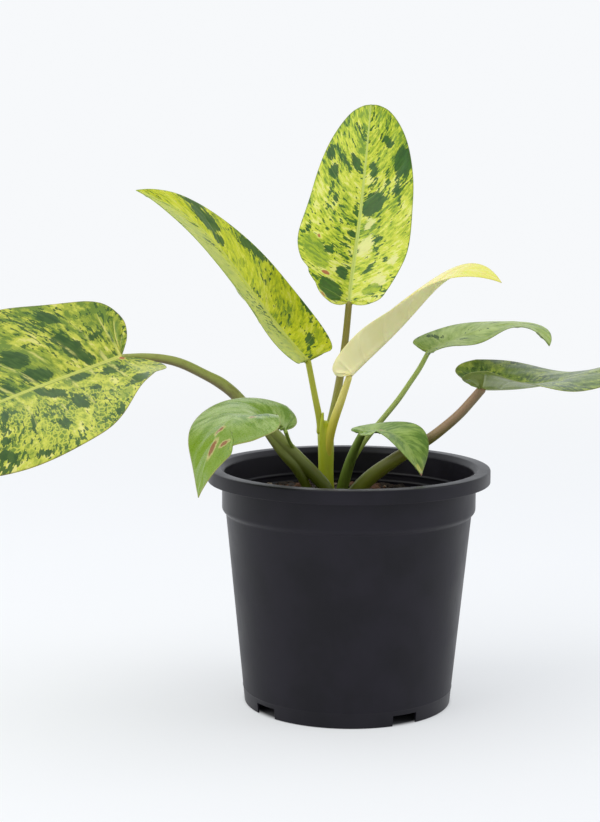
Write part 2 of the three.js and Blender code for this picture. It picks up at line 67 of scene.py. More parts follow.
# Leaf outlines from the stalk round the lobe to the tip, as (share of length, share of half width).
# A lobe point's first number is a share of the lobe's reach behind the stalk.
LOBE_OUTLINE = ((0, 0), (0.75, 0.2), (1, 0.42), (0.45, 0.68))
POINTED_OUTLINE = ((0.1, 0.88), (0.26, 1), (0.45, 0.96), (0.65, 0.78), (0.82, 0.5), (0.93, 0.22), (1, 0))
BLUNT_OUTLINE = ((0.1, 0.88), (0.26, 1), (0.45, 0.99), (0.65, 0.9), (0.83, 0.72), (0.96, 0.4), (1, 0))
RAIL_STEPS, LEFT_WAVE_SHIFT = 60, 0.37
VEIN_START, VEIN_POWER, VEIN_STRAIGHT = 0.3, 1.5, 0.35
BLADE_THICKNESS, MIDRIB_RISE, MIDRIB_REACH = 0.55, 0.9, 2.2

# Fine relief of a blade: bulges between its side veins, grooves over them and ridges under them, soft
# ripples, the rib over the midrib, and the rounded rim
QUILT_RISE, BLADE_SINK, VEIN_GROOVE, GROOVE_REACH = 0.32, 0.16, 0.22, 0.7
VEIN_RIDGE, RIDGE_REACH, LEAF_RIPPLE, LEAF_RIPPLE_WIDTH = 0.28, 0.6, 0.22, 7
RIB_RISE, RIB_REACH, RIB_ENDS, RIM_BULGE = 0.3, 0.9, (0.75, 1), 0.12
RIM_THINNING, THINNING_STARTS, RELIEF_STARTS, RELIEF_ENDS = 0.45, 0.9, (0, 0.12), (0.8, 0.97)
SEED_SHIFT = (17.3, 5.1, 9.7)

# How finely a blade is divided, how far apart its side veins are, and how they crowd towards the tip
ROWS_PER_MM, LEAST_ROWS, COLUMNS_PER_MM, LEAST_COLUMNS, RIM_CROWDING = 1.3, 20, 0.75, 8, 0.9
VEIN_SPACING, LEAST_VEINS, VEIN_CROWDING, HALVES_APART = 13, 5, 1.15, 200

# Stalks: sides, rows between two points of a route, and the rings of a rounded end as (share, push)
TUBE_SIDES, TUBE_STEPS = 24, 7
END_RINGS, END_PUSH = ((0.8, 0.35), (0.4, 0.55)), 0.62
FUSE_VOXEL, FUSE_ROUNDS = 0.32, 3

# Leaves. The blade starts at base and follows its midrib: heading (degrees from +X towards +Y), climb and
# roll are given at the base, middle and tip. Pairs are (right, left) seen from above, looking to the tip.
# fold is how far each half is turned up at the midrib, and curl how much further it bends to its edge.
# wave is the edge's rise, its count along the leaf and its phase, and droop how far a lobe hangs down.
LEAVES = {
    "upright": dict(
        base=(-0.4, 12, 215.8), length=119, heading=(83, 67, 80), climb=(46, 74, 68), roll=(9, 4, -3),
        half=(31, 32), lobe=(5, 7), blunt=0.8, fold=((35, 9, -8), (36, 10, -11)),
        curl=((-1, -10, -10), (0, -13, -3)), wave=(0.8, 2.5, 0.1), notch=1.3,
        bites=[dict(side=-1, at=0.11, depth=1.8, reach=0.03)]),
    "upper_left": dict(
        base=(-22.6, -2, 185.6), length=131, heading=(157, 182, 192), climb=(45, 53, 19),
        roll=(-9, -22, -28), half=(29, 31), lobe=(1, 1), blunt=0, fold=((18, 3, 16), (21, 1, 16)),
        curl=((4, 19, -15), (-13, 27, -26)), wave=(0.6, 2, 0.3)),
    "far_left": dict(
        base=(-120.4, -14, 189), length=164, heading=(208, 235, 218), climb=(-17, -11, -26),
        roll=(-21, -24, -33), half=(57, 56), lobe=(12, 13), blunt=0.2, fold=((24, 8, -4), (5, 8, -9)),
        curl=((-7, -5, -12), (28, -3, -14)), wave=(1.4, 2.5, 0.6), droop=(0, 3),
        bites=[dict(side=-1, at=0.5, depth=-4.5, reach=0.2), dict(side=1, at=0.5, depth=3, reach=0.1)]),
    "small_left": dict(
        base=(-34.2, -34, 152.6), length=100, heading=(212, 249, 240), climb=(34, -12, -77),
        roll=(-14, 1, 35), half=(24, 27), lobe=(6, -2), blunt=0.1, fold=((66, -18, -3), (60, 0, 3)),
        curl=((-75, 6, -7), (-60, -26, 12)), wave=(0.6, 2, 0),
        bites=[dict(side=-1, at=0.74, depth=7, reach=0.035), dict(side=-1, at=0, depth=24, reach=0.26)]),
    "new": dict(
        base=(0, -7, 178.8), length=123, heading=(23, -49, -53), climb=(43, 40, -25), roll=(-12, 18, 6),
        half=(16, 15), lobe=(6, 2), blunt=0, fold=((76, 11, -13), (60, 25, -1)),
        curl=((18, 10, -10), (14, 7, 0)), wave=(0.3, 2, 0)),
    "small_right": dict(
        base=(42.8, 15, 189), length=78, heading=(23, -7, -68), climb=(25, 13, -44), roll=(9, 8, -16),
        half=(18, 19), lobe=(4, 2), blunt=0, fold=((24, -4, 22), (23, 1, 18)),
        curl=((-8, -8, -16), (-12, -10, -12)), wave=(0.5, 2, 0.2)),
    "far_right": dict(
        base=(68.4, -14, 173.2), length=118, heading=(1, -20, -14), climb=(-2, 17, -5), roll=(8, 4, 16),
        half=(36, 36), lobe=(11, 12), blunt=0.2, fold=((35, 0, -2), (27, 0, 1)),
        curl=((-5, -10, -10), (-18, -12, -9)), wave=(1, 2.5, 0.5)),
    "small_front": dict(
        base=(6.7, -20, 150.1), length=48, heading=(20, -54, -53), climb=(10, -26, -61), roll=(4, -2, -28),
        half=(15, 15), lobe=(4, 4), blunt=0.1, fold=((8, 14, 7), (7, 18, 0)),
        curl=((-8, 3, -14), (-16, 5, -12)), wave=(0.3, 2, 0)),
}

# Large marks on the leaves as (along, across to the right, half length, half width, turn in degrees)
MARKS = {
    "upright": dict(
        dark=[(85, 21, 10, 5, 5), (60, 7, 8, 5.5, 30), (79, -18, 4.2, 2.7, 0), (90, -21, 4.3, 3.3, 0),
              (86, -13, 7, 1.7, 146), (83, -5, 7, 2.5, 153), (63, -15, 2.7, 1.7, 0), (96, 11, 4.7, 2.2, 132),
              (80, 5, 4.6, 2, 165), (101, -3, 5, 1.4, 151), (69, 19, 2.5, 1.8, 0), (26, 19, 2.5, 2, 20),
              (20, 9, 4, 1.5, 42), (18, -6, 4, 4, 142), (2, -13, 8, 8, 108), (31, -15, 3, 2.7, 124),
              (40, 13, 2.8, 1.5, 79), (43, -3, 3.6, 1.4, 143), (44, -28, 3, 1.4, 0)],
        mid=[(28, -22, 13, 6.5, 157), (5, 13, 5.5, 4.3, 84), (113, -3, 5.6, 2.7, 62)],
        pale=[(25, 23, 4.2, 2.6, 41), (10, 17, 4.7, 4.7, 63), (49, 6, 4, 2.3, 42), (36, 6, 6, 4, 25),
              (115, 0, 1.6, 1.2, 0)],
        scorch=[(14, -16, 2.4, 1.5, 96), (39, -21, 1.5, 0.9, 148), (-5, -18, 1.8, 0.7, 116)]),
    "upper_left": dict(
        dark=[(92, 11, 9, 6, 5), (80, 6, 4.4, 3, 3), (66, 24, 10, 2.9, 167), (102, 15, 8, 2.2, 162),
              (27, 28, 5.6, 1.4, 15), (9, 12, 4.9, 3, 40), (4, 6, 4.4, 1, 42), (25, -6, 5.2, 1.5, 150),
              (42, 4, 3.7, 0.9, 167), (38, -30, 4, 2.5, 158), (97, -3, 4.2, 0.8, 150),
              (81, -4, 4, 0.8, 156)],
        mid=[(63, 10, 3.5, 2.6, 80), (8, 18, 5.8, 1.8, 48)]),
    "far_left": dict(
        dark=[(51, 22, 8, 6.5, 44), (48, 8, 9, 5, 13), (20, 15, 15, 4.7, 76), (20, 41, 7, 4, 52),
              (7, 18, 2.2, 2.3, 30), (67, 7, 5, 2.6, 66), (52, -9, 9.4, 5, 66), (30, -5, 6, 4, 20),
              (49, -28, 8, 5, 122), (11, -11, 7, 4.5, 16), (10, -38, 8, 7, 139), (31, -23, 3.5, 2.8, 117),
              (84, -27, 8, 1.6, 134), (72, -37, 6, 3.1, 140), (92, -15, 10, 2, 142), (103, -27, 3, 2.6, 45),
              (109, -35, 4.5, 3.5, 84), (97, -46, 3.5, 2, 21), (43, -54, 7, 2, 170)],
        mid=[(47, 16, 15, 12, 49), (-6, 19, 10, 3, 111), (3, 28, 5, 4.5, 68), (28, -45, 6, 4.4, 155)],
        scorch=[(1, -2, 1.6, 1.4, 45)]),
    "small_left": dict(
        dark=[(30, -9, 6, 3, 60)],
        scorch=[(60, 0.5, 3, 1.4, 20), (74, -1, 5, 1.2, 0), (71, -6.5, 2.6, 1.3, 30), (39, -8.6, 2, 1, 10),
                (19, -12, 2, 1.2, 60)]),
    "new": {},
    "small_right": dict(
        dark=[(38.6, -8.2, 2.6, 1.3, 10), (20, 6, 3, 1, 30), (10, -10, 4, 1.6, 60)],
        mid=[(4, -8, 6, 4, 80)]),
    "far_right": dict(
        dark=[(30, 12, 7, 3, 40), (55, -14, 8, 4, 140), (75, 15, 8, 4, 40)],
        mid=[(20, -20, 10, 6, 120), (60, 12, 12, 6, 40)]),
    "small_front": dict(
        pale=[(44, 0, 4, 2, 0)], scorch=[(9.3, -1.5, 1.5, 0.8, 0), (47.5, 0, 1.2, 1, 0)]),
}

# Routes of the crown and the leaf stalks, from the blade down, as (x, y, z, radius)
CROWN_ROUTE = (
    (-13.7, 0, 151.5, 3.2), (-12.8, 0, 146, 4.3), (-12.4, -0.2, 137, 4.3), (-12.4, -0.5, 127, 4.1),
    (-12.1, -1, 117, 4.3), (-11.1, -1, 108, 4.8), (-10.5, -1, 97, 4.6))
SHEATH_TIP_ROUTE = ((-14.2, -3.4, 158, 0.5), (-14.6, -3, 152, 1.3), (-13.8, -1.5, 142, 2.6))
STALK_ROUTES = {
    "upright": [(
        (-0.4, 12, 215.5, 1.8), (-2.2, 11.5, 195.7, 1.9), (-5, 9, 175.5, 2.1), (-8, 5.5, 159.9, 2.2),
        (-11.2, 2.2, 147, 2.2))],
    "upper_left": [(
        (-22.3, -2, 185.4, 1.6), (-18.7, -1.5, 167.3, 1.7), (-15.9, -1, 153.2, 1.9), (-15.6, -1, 147, 2))],
    "new": [(
        (-0.5, -7, 177.6, 1.7), (-4.4, -6, 165.5, 2.1), (-8.4, -4.4, 153.6, 2.4), (-10.6, -3.1, 144, 2.4),
        (-11.6, -1.8, 134, 2.4), (-12, -0.7, 124, 2.2))],
    "far_left": [
        ((-119.6, -14, 188.4, 1.7), (-108.3, -13.3, 188.4, 2.1), (-97.5, -12.5, 187.2, 2.4),
         (-87.9, -11.5, 184.4, 2.6), (-76.3, -10.3, 178.6, 2.7), (-68.7, -9.5, 174.4, 3.1),
         (-61.8, -8.8, 168.9, 3.1), (-55.2, -8, 161.7, 3.3), (-46.7, -7.5, 153.8, 3.5),
         (-38.2, -8, 144.9, 3.5), (-26.4, -9, 133.2, 3.6), (-15, -9.5, 121.5, 3.6), (-8.6, -8.5, 112, 3.2)),
        ((-46.7, -8.5, 151.9, 2), (-39.5, -9.5, 141.7, 2.2), (-33.8, -10, 135.1, 2.7),
         (-29.1, -9.8, 130.3, 3), (-25.3, -9.2, 124.1, 2.7), (-22.8, -8, 118.4, 2.4),
         (-19.8, -7, 111.2, 2.4)),
    ],
    "small_left": [(
        (-33.9, -34, 152.2, 1.1), (-33, -26, 148.4, 1), (-32, -17, 144.4, 1), (-30.5, -11, 140.8, 1.1),
        (-29.1, -9, 138.3, 1.2))],
    "small_right": [(
        (42.8, 15, 188.6, 1.3), (38.2, 14, 180.1, 1.4), (32.8, 12.5, 172.1, 1.4), (26.6, 11, 163.2, 1.5),
        (18.2, 9, 153, 1.5), (10.1, 7, 143.4, 1.6), (4.9, 5.5, 136, 1.7), (1, 4.5, 128.7, 1.8),
        (-3.3, 3.5, 116.5, 2), (-5.7, 2, 106.9, 2))],
    "far_right": [(
        (69.4, -14, 172.4, 2.4), (64.1, -13.2, 165.9, 2.5), (58, -12.2, 158.8, 2.6), (50.2, -11, 151.5, 2.7),
        (41.4, -10, 144.5, 2.9), (29.6, -8, 137, 3.4), (21.5, -7, 131.4, 3.7), (13.1, -5, 124.8, 4),
        (6, -3.5, 117.8, 4.1), (-0.5, -1.5, 110, 3.8))],
    "small_front": [(
        (6.4, -19.6, 149.2, 2), (3.1, -15, 141.3, 2.3), (0, -10, 131.6, 2.8), (-3.3, -6.5, 118.8, 3.1),
        (-5, -5, 108.2, 2.9))],
}


def smooth(values, t):
    """A smooth reading of evenly spaced values at t from 0 to 1, run on straight past both ends."""
    values = np.asarray(values, float)
    last = len(values) - 1
    place = np.clip(t, 0, 1) * last
    i = np.minimum(np.floor(place).astype(int), last - 1)
    w = place - i
    if values.ndim > 1:
        w = w[..., None]
    ends = np.concatenate([[2 * values[0] - values[1]], values, [2 * values[-1] - values[-2]]])
    p0, p1, p2, p3 = (ends[i + k] for k in range(4))
    a, b = (p2 - p0) / 2, (p3 - p1) / 2
    return (2 * p1 - 2 * p2 + a + b) * w ** 3 + (3 * p2 - 3 * p1 - 2 * a - b) * w ** 2 + a * w + p1


def smooth_step(x, low, high):
    t = np.clip((x - low) / (high - low), 0, 1)
    return t * t * (3 - 2 * t)


def unit(vectors, least=1e-9):
    """The vectors at length 1. Those below the least length stay shorter."""
    return vectors / np.maximum(np.linalg.norm(vectors, axis=-1, keepdims=True), least)


def field(points, scale, seed):
    """Smooth noise from -1 to 1 at points in mm, with features about scale mm wide."""
    shift = Vector([step * seed for step in SEED_SHIFT])
    return np.array([noise.noise(Vector(p) / scale + shift) for p in points])


# Leaf shape

def leaf_axes(leaf, t):
    """The midrib's direction, the blade's right-hand direction and its upper face's direction at t."""
    heading, climb, roll = (np.radians(smooth(leaf[key], t)) for key in ("heading", "climb", "roll"))
    flat = np.stack([np.cos(heading), np.sin(heading), 0 * heading], -1)
    upright = np.array([0, 0, 1.0])
    forward = flat * np.cos(climb)[..., None] + upright * np.sin(climb)[..., None]
    up = -flat * np.sin(climb)[..., None] + upright * np.cos(climb)[..., None]
    right = np.cross(forward, up)
    c, s = np.cos(roll)[..., None], np.sin(roll)[..., None]
    return forward, right * c - up * s, up * c + right * s


def midrib(leaf):
    t = (np.arange(RAIL_STEPS) + 0.5) / RAIL_STEPS
    steps = leaf_axes(leaf, t)[0] * leaf["length"] / RAIL_STEPS
    return np.vstack([[leaf["base"]], leaf["base"] + np.cumsum(steps, 0)])


def edge(leaf, k, u):
    """The blade's edge, along the midrib and across from it, for u from 0 (stalk) to 1 (tip).

    k is 0 for the right half and 1 for the left one.
    """
    half, reach, blunt, length = leaf["half"][k], leaf["lobe"][k], leaf["blunt"], leaf["length"]
    lobe = [(-back * reach, out * half) for back, out in LOBE_OUTLINE]
    body = [((a + (c - a) * blunt) * length, (b + (d - b) * blunt) * half)
            for (a, b), (c, d) in zip(POINTED_OUTLINE, BLUNT_OUTLINE)]
    outline = np.array(lobe + body)
    along, across = smooth(outline[:, 0], u), np.maximum(smooth(outline[:, 1], u), 0)
    for bite in leaf.get("bites", []):
        if bite["side"] == 1 - 2 * k:
            across = across - bite["depth"] * np.exp(-((along / length - bite["at"]) / bite["reach"]) ** 2)
    if leaf.get("notch"):
        along = along - leaf["notch"] * np.exp(-(across / (2 * leaf["notch"])) ** 2) * u ** 8
    return along, np.maximum(across, 0)


def leaf_point(leaf, rail, along, across, k):
    t = np.clip(along / leaf["length"], 0, 1)
    place = t * RAIL_STEPS
    i = np.minimum(np.floor(place).astype(int), RAIL_STEPS - 1)
    forward, right, up = leaf_axes(leaf, t)
    w = (place - i)[..., None]
    point = rail[i] * (1 - w) + rail[i + 1] * w + forward * (along - t * leaf["length"])[..., None]
    half = leaf["half"][k]
    share = across / half
    fold, bend = np.radians(smooth(leaf["fold"][k], t)), np.radians(smooth(leaf["curl"][k], t))
    curl = np.where(np.abs(bend) < 0.001, 0.001, bend)
    out = half * (np.sin(fold + curl * share) - np.sin(fold)) / curl
    rise, count, phase = leaf["wave"]
    turn = 2 * math.pi * (count * along / leaf["length"] + phase + LEFT_WAVE_SHIFT * k)
    lift = half * (np.cos(fold) - np.cos(fold + curl * share)) / curl + rise * share ** 2 * np.sin(turn)
    if leaf.get("droop"):
        lift = lift - leaf["droop"][k] * np.clip(-along / leaf["lobe"][k], 0, None) ** 1.5
    return point + right * ((1 - 2 * k) * out)[..., None] + up * lift[..., None]


def mark_depth(marks, along, across):
    """How far inside the nearest of some oval marks a point lies, in mm, and below 0 outside them."""
    depth = np.full(along.shape, -9.0)
    for centre_along, centre_across, half_length, half_width, turn in marks:
        c, s = math.cos(math.radians(turn)), math.sin(math.radians(turn))
        x, y = along - centre_along, across - centre_across
        reach = np.hypot((x * c + y * s) / half_length, (y * c - x * s) / half_width)
        depth = np.maximum(depth, (1 - reach) * min(half_length, half_width))
    return depth


def lengths_along(grid, axis):
    """The way gone along the rows or columns of a grid of points, from 0."""
    steps = np.linalg.norm(np.diff(grid, axis=axis), axis=2)
    return np.concatenate([np.zeros_like(np.take(steps, [0], axis)), np.cumsum(steps, axis)], axis)


def leaf_sheet(name):
    """The blade's middle surface as points, faces and, for each point, its place on the blade."""
    leaf = LEAVES[name]
    rail = midrib(leaf)
    rows = int(leaf["length"] * ROWS_PER_MM) + LEAST_ROWS
    columns = int(max(leaf["half"]) * COLUMNS_PER_MM) + LEAST_COLUMNS
    veins = max(LEAST_VEINS, round(leaf["length"] / VEIN_SPACING))
    points, faces, places = [], [], []
    known = {}
    for k in (0, 1):
        out_from_midrib = np.linspace(0, 1, columns + 1) ** RIM_CROWDING
        u, v = np.meshgrid(np.linspace(0, 1, rows + 1), out_from_midrib, indexing="ij")
        edge_along, edge_across = edge(leaf, k, u)
        tip = edge(leaf, k, np.array(1.0))[0]
        start = tip * np.maximum((u - VEIN_START) / (1 - VEIN_START), 0) ** VEIN_POWER
        bend = VEIN_STRAIGHT * v + (1 - VEIN_STRAIGHT) * v * v
        along, across = start + (edge_along - start) * bend, edge_across * v
        grid = leaf_point(leaf, rail, along, across, k)
        rim = lengths_along(grid[:, -1:], 0)
        run = lengths_along(grid, 1)
        vein = u ** VEIN_CROWDING * veins + 0.5
        gap = np.gradient(start * (1 - v) + rim * v, axis=0) / np.maximum(np.gradient(vein, axis=0), 1e-6)
        flow = (start + rim) / 2 + HALVES_APART * k
        to_edge = (1 - v) * np.maximum(run[:, -1:], 0.01)
        place = np.stack([along, across * (1 - 2 * k), v, flow, run, vein, gap, to_edge], -1)
        index = np.empty(u.shape, int)
        for i in range(rows + 1):
            for j in range(columns + 1):
                key = tuple(np.round(grid[i, j], 3))
                if key not in known:
                    known[key] = len(points)
                    points.append(grid[i, j])
                    places.append(place[i, j])
                index[i, j] = known[key]
        for i in range(rows):
            for j in range(columns):
                corners = [index[i, j], index[i, j + 1], index[i + 1, j + 1], index[i + 1, j]]
                ring = [c for n, c in enumerate(corners) if c != corners[n - 1]]
                if 3 <= len(set(ring)) == len(ring):
                    faces.append(ring if k == 0 else ring[::-1])
    return np.array(points), faces, np.array(places)


def leaf_number(name):
    return sorted(LEAVES).index(name) + 1


def sheet_normals(points, faces):
    normals = np.zeros_like(points)
    for face in faces:
        corner = points[face]
        turn = np.cross(corner[1] - corner[0], corner[2] - corner[0])
        if len(face) == 4:
            turn = turn + np.cross(corner[2] - corner[0], corner[3] - corner[0])
        normals[face] += turn
    return unit(normals, 1e-12)


def build_leaf(name):
    leaf = LEAVES[name]
    points, faces, places = leaf_sheet(name)
    along, across, v, flow, run, vein, gap, to_edge = places.T
    normals = sheet_normals(points, faces)

    near_vein = np.abs(vein - np.round(vein)) * np.maximum(np.abs(gap), 0.4)
    share = np.clip(along / leaf["length"], 0, 1)
    fade = smooth_step(v, *RELIEF_STARTS) * (1 - smooth_step(v, *RELIEF_ENDS))
    quilt = 0.5 - 0.5 * np.cos(2 * math.pi * vein)
    groove = VEIN_GROOVE * np.exp(-(near_vein / GROOVE_REACH) ** 2)
    ripple = LEAF_RIPPLE * field(np.stack([flow, run, 0 * run], 1), LEAF_RIPPLE_WIDTH, leaf_number(name))
    relief = fade * (QUILT_RISE * quilt - BLADE_SINK - groove + ripple)
    rib = RIB_RISE * np.exp(-(across / RIB_REACH) ** 2) * (1 - smooth_step(share, *RIB_ENDS))
    thick = BLADE_THICKNESS * (1 - RIM_THINNING * smooth_step(v, THINNING_STARTS, 1))
    keel = MIDRIB_RISE * np.exp(-(across / MIDRIB_REACH * 1.4) ** 2) * (1 - share) ** 0.6 * (v < 0.999)
    ridge = VEIN_RIDGE * fade * np.exp(-(near_vein / RIDGE_REACH) ** 2)
    top = points + normals * (relief + rib)[:, None]
    low = points + normals * (relief - thick - keel - ridge)[:, None]

    # The upper and the lower face are joined round the free edge by a thin rim that stands out a little
    directed = dict.fromkeys((a, b) for face in faces for a, b in zip(face, face[1:] + face[:1]))
    border = [(a, b) for a, b in directed if (b, a) not in directed]
    outward = {}
    for a, b in border:
        away = unit(np.cross(points[b] - points[a], (normals[a] + normals[b]) / 2))
        outward[a] = outward.get(a, 0) + away
        outward[b] = outward.get(b, 0) + away
    count = len(points)
    rim = {a: 2 * count + i for i, a in enumerate(outward)}
    bulge = [(top[a] + low[a]) / 2 + unit(away) * RIM_BULGE for a, away in outward.items()]
    shell = faces + [[c + count for c in face[::-1]] for face in faces]
    for a, b in border:
        shell.append([b, a, rim[a], rim[b]])
        shell.append([rim[b], rim[a], a + count, b + count])
    obj = add_mesh("leaf_" + name, [*top, *low, *bulge], shell)

    source = np.array([*range(count), *range(count), *outward])
    underside = np.repeat([0, 1, 0.5], [count, count, len(outward)])
    dark, mid, pale, scorch = (
        mark_depth(MARKS[name].get(kind, ()), along, across) for kind in ("dark", "mid", "pale", "scorch"))
    add_vector(obj, "leaf_flat", np.stack([along, across, v], 1)[source])
    add_vector(obj, "leaf_vein", np.stack([flow, run, near_vein], 1)[source])
    add_vector(obj, "leaf_marks", np.stack([dark, mid, pale], 1)[source])
    add_vector(obj, "leaf_spots", np.stack([scorch[source], to_edge[source], underside], 1))
    return obj


# Meshes

def add_mesh(name, vertices, faces):
    mesh = bpy.data.meshes.new(name)
    places = [tuple(float(c) * MM for c in point) for point in vertices]
    mesh.from_pydata(places, [], [tuple(int(c) for c in face) for face in faces])
    mesh.validate()
    mesh.update()
    mesh.shade_smooth()
    obj = bpy.data.objects.new(name, mesh)
    bpy.context.scene.collection.objects.link(obj)
    return obj


def add_vector(obj, name, values):
    layer = obj.data.attributes.new(name, "FLOAT_VECTOR", "POINT")
    layer.data.foreach_set("vector", np.asarray(values, np.float32).ravel())


def lattice(rings, sides):
    """The vertices and faces of a skin through rings of points. A ring of one point is a pole."""
    vertices, rows, faces = [], [], []
    for ring in rings:
        rows.append([len(vertices) + j % len(ring) for j in range(sides)])
        vertices.extend(ring)
    for a, b in zip(rows, rows[1:]):
        for j in range(sides):
            n = (j + 1) % sides
            corners = [a[j], b[j], b[n], a[n]]
            face = [c for i, c in enumerate(corners) if c != corners[i - 1]]
            if len(face) > 2:
                faces.append(face)
    return vertices, faces


def tube(route):
    """The vertices and faces of a round tube along a route, closed by rounded ends."""
    path = smooth(route, np.linspace(0, 1, (len(route) - 1) * TUBE_STEPS + 1))
    centre, radius = path[:, :3], path[:, 3]
    forward = unit(np.gradient(centre, axis=0))
    right = unit(np.cross(forward, (0, 1, 0)))
    over = np.cross(right, forward)
    turn = 2 * math.pi * np.arange(TUBE_SIDES)[:, None] / TUBE_SIDES
    rings = [middle + reach * (side * np.cos(turn) + up * np.sin(turn))
             for middle, reach, side, up in zip(centre, radius, right, over)]
    ends = []
    for end, sign in ((0, -1), (-1, 1)):
        out = forward[end] * sign * radius[end]
        cap = [centre[end] + (rings[end] - centre[end]) * share + out * push for share, push in END_RINGS]
        ends.append([*cap, [centre[end] + out * END_PUSH]])
    return lattice(ends[0][::-1] + rings + ends[1], TUBE_SIDES)


def build_stalk(name, routes):
    """A stalk with a strand for each route. Several strands are joined into one skin, smoothed a little."""
    vertices, faces = [], []
    for route in routes:
        base = len(vertices)
        strand, strand_faces = tube(route)
        vertices.extend(strand)
        faces.extend([[c + base for c in face] for face in strand_faces])
    obj = add_mesh(name, vertices, faces)
    if len(routes) > 1:
        remesh = obj.modifiers.new("join", "REMESH")
        remesh.mode = "VOXEL"
        remesh.voxel_size = FUSE_VOXEL * MM
        soften = obj.modifiers.new("soften", "SMOOTH")
        soften.factor = 0.5
        soften.iterations = FUSE_ROUNDS
        apply_modifiers(obj)
        obj.data.shade_smooth()
    return obj


def apply_modifiers(obj):
    graph = bpy.context.evaluated_depsgraph_get()
    mesh = bpy.data.meshes.new_from_object(obj.evaluated_get(graph))
    obj.modifiers.clear()
    old = obj.data
    obj.data = mesh
    mesh.name = old.name
    bpy.data.meshes.remove(old)


# Pot and soil

def wall_radius(z):
    return FOOT_RADIUS + WALL_SLOPE * z


def inside_radius(z):
    return wall_radius(z) - WALL


def rounded(profile):
    """The profile's corners turned into short arcs. A corner's third number is its radius."""
    out = []
    for i, (x, z, radius) in enumerate(profile):
        here = np.array([x, z], float)
        if not radius:
            out.append(here)
            continue
        back = np.array(profile[i - 1][:2]) - here
        on = np.array(profile[i + 1][:2]) - here
        reach = min(radius, np.linalg.norm(back) * CORNER_SHARE, np.linalg.norm(on) * CORNER_SHARE)
        a, b = here + unit(back) * reach, here + unit(on) * reach
        for t in (0, 0.25, 0.5, 0.75, 1):
            out.append(a * (1 - t) ** 2 + here * 2 * t * (1 - t) + b * t * t)
    return out


def turned(profile, sides):
    """Rings of points about the Z axis, one for each (radius, height) of a profile."""
    turn = 2 * math.pi * np.arange(sides) / sides
    circle = list(zip(np.cos(turn), np.sin(turn)))
    return [[(far * x, far * y, z) for x, y in circle[:sides if far else 1]] for far, z in profile]


def build_pot():
    rim_under = POT_HEIGHT - RIM_PLATE
    rim_low = POT_HEIGHT - RIM_DEPTH
    skirt_inside = RIM_RADIUS - SKIRT
    collar_inside = COLLAR_RADIUS - WALL
    profile = [
        (0, 0, 0), (CENTRE_FOOT_RADIUS, 0, 0.6), (CENTRE_FOOT_RADIUS + 1, PLATE_UNDER, 0.6),
        (inside_radius(PLATE_UNDER), PLATE_UNDER, 0.6), (inside_radius(0) + EDGE / 2, 0, 0.3),
        (wall_radius(0), 0, 0.9),
        (wall_radius(FOOT_BEAD - BEAD_REACH), FOOT_BEAD - BEAD_REACH, 0),
        (wall_radius(FOOT_BEAD) + BEAD_RISE, FOOT_BEAD, 0.4),
        (wall_radius(FOOT_BEAD + BEAD_REACH), FOOT_BEAD + BEAD_REACH, 0),
        (wall_radius(STEP_BOTTOM), STEP_BOTTOM, 0.4),
        (wall_radius(STEP_BOTTOM) + BEAD_RISE, STEP_BOTTOM + 0.5, 0.3),
        (COLLAR_RADIUS, STEP_TOP, 1.6),
        (COLLAR_RADIUS, rim_under, 1), (skirt_inside, rim_under, 0.5),
        (skirt_inside, rim_low, 0.4), (RIM_RADIUS, rim_low, 0.4),
        (RIM_RADIUS, POT_HEIGHT, 1.1), (LIP_RADIUS, POT_HEIGHT, 0.5),
        (collar_inside, POT_HEIGHT - MOUTH_SLOPE, 0.8)]
    for z in STACKING_RINGS:
        for lift, rise in ((1, 0), (0, STACKING_RISE), (-1, 0)):
            profile.append((collar_inside - rise, z + lift, 0.4))
    profile += [
        (collar_inside, STEP_TOP + EDGE / 2, 1.2), (inside_radius(STEP_BOTTOM), STEP_BOTTOM, 1.2),
        (inside_radius(PLATE_TOP + WALL), PLATE_TOP + WALL, 1),
        (inside_radius(PLATE_TOP) - WALL, PLATE_TOP, 0.4), (0, PLATE_TOP, 0)]
    vertices, faces = lattice(turned(rounded(profile)[::-1], POT_SIDES), POT_SIDES)
    pot = add_mesh("nursery_pot", vertices, faces)
    cutters = []
    for angle in NOTCH_ANGLES:
        spin = Matrix.Rotation(math.radians(angle), 4, "Z")
        place = spin @ Matrix.Translation((FOOT_RADIUS * MM, 0, (NOTCH_HEIGHT - CUTTER_HEIGHT / 2) * MM))
        bpy.ops.mesh.primitive_cube_add(size=MM)
        cutter = bpy.context.object
        cutter.matrix_world = place @ Matrix.Diagonal((CUT_DEPTH, NOTCH_WIDTH, CUTTER_HEIGHT, 1))
        cutters.append(cutter)
    for i in range(DRAIN_COUNT):
        angle = 2 * math.pi * i / DRAIN_COUNT
        place = Vector((DRAIN_RING * math.cos(angle), DRAIN_RING * math.sin(angle), PLATE_TOP)) * MM
        bpy.ops.mesh.primitive_cylinder_add(
            vertices=DRAIN_SIDES, radius=DRAIN_RADIUS * MM, depth=CUTTER_HEIGHT * MM, location=place)
        cutters.append(bpy.context.object)
    for cutter in cutters:
        cut = pot.modifiers.new("cut", "BOOLEAN")
        cut.operation = "DIFFERENCE"
        cut.solver = "EXACT"
        cut.object = cutter
    apply_modifiers(pot)
    for cutter in cutters:
        bpy.data.objects.remove(cutter, do_unlink=True)
    sharpen(pot, POT_CREASE)
    return pot


def sharpen(obj, degrees):
    """Smooth shading, with the edges that turn more than some degrees left sharp."""
    work = bmesh.new()
    work.from_mesh(obj.data)
    for face in work.faces:
        face.smooth = True
    for line in work.edges:
        line.smooth = len(line.link_faces) == 2 and line.calc_face_angle() < math.radians(degrees)
    work.to_mesh(obj.data)
    work.free()


